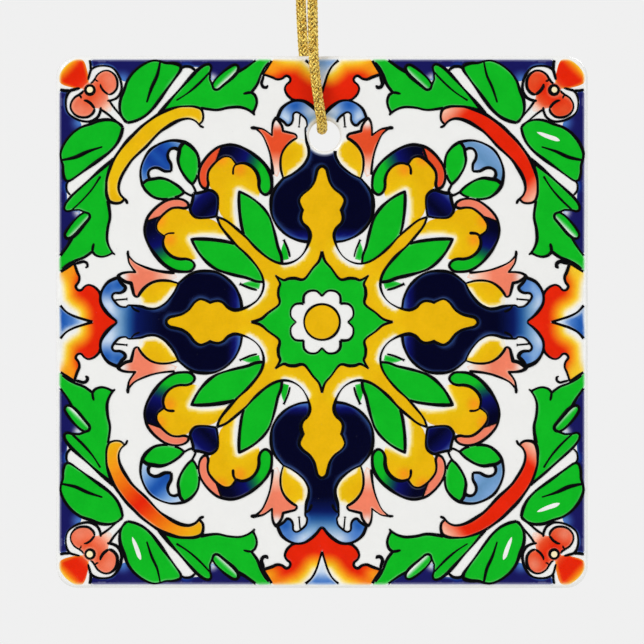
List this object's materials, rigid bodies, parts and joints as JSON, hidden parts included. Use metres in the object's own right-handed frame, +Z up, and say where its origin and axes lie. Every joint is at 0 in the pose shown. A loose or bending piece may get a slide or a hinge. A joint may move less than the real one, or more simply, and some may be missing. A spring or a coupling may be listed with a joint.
{
  "type": "hanging ceramic tile ornament",
  "caption": "Square glazed ceramic tile ornament painted with a traditional floral tile pattern, hung on a gold braided cord loop.",
  "frame": {"origin": "inside the top of the cord loop, under the knot, where a hook or twig carries it", "axes": "+Z up along the hanging loop, +X to the right seen from the painted front, -Y out of the painted front"},
  "size_m": [0.073, 0.0072, 0.1375],
  "materials": {
    "clay": "glossy",
    "white_glaze": "glossy",
    "green_glaze": "glossy",
    "yellow_glaze": "glossy",
    "navy_glaze": "glossy",
    "sky_glaze": "glossy",
    "flame_glaze": "glossy",
    "coral_glaze": "glossy",
    "line_paint": "glossy",
    "gold_braid": "satin"
  },
  "bodies": {
    "knot": {"cord_knot": "gold_braid"},
    "cord": {"hanging_cord": "gold_braid"},
    "tile": {"tile_body": "clay", "white_glaze": "white_glaze", "green_glaze": "green_glaze", "yellow_glaze": "yellow_glaze", "navy_glaze": "navy_glaze", "sky_glaze": "sky_glaze", "flame_glaze": "flame_glaze", "coral_glaze": "coral_glaze"}
  },
  "joints": [
    {"name": "cord_twist", "type": "hinge", "parent": "knot", "child": "cord", "pos_m": [0, 0, 0], "axis": [0, 0, 1], "range_deg": [-180, 180]},
    {"name": "tile_swing", "type": "hinge", "parent": "cord", "child": "tile", "pos_m": [0, 0, -0.062], "axis": [0, 1, 0], "range_deg": [-60, 60]}
  ]
}
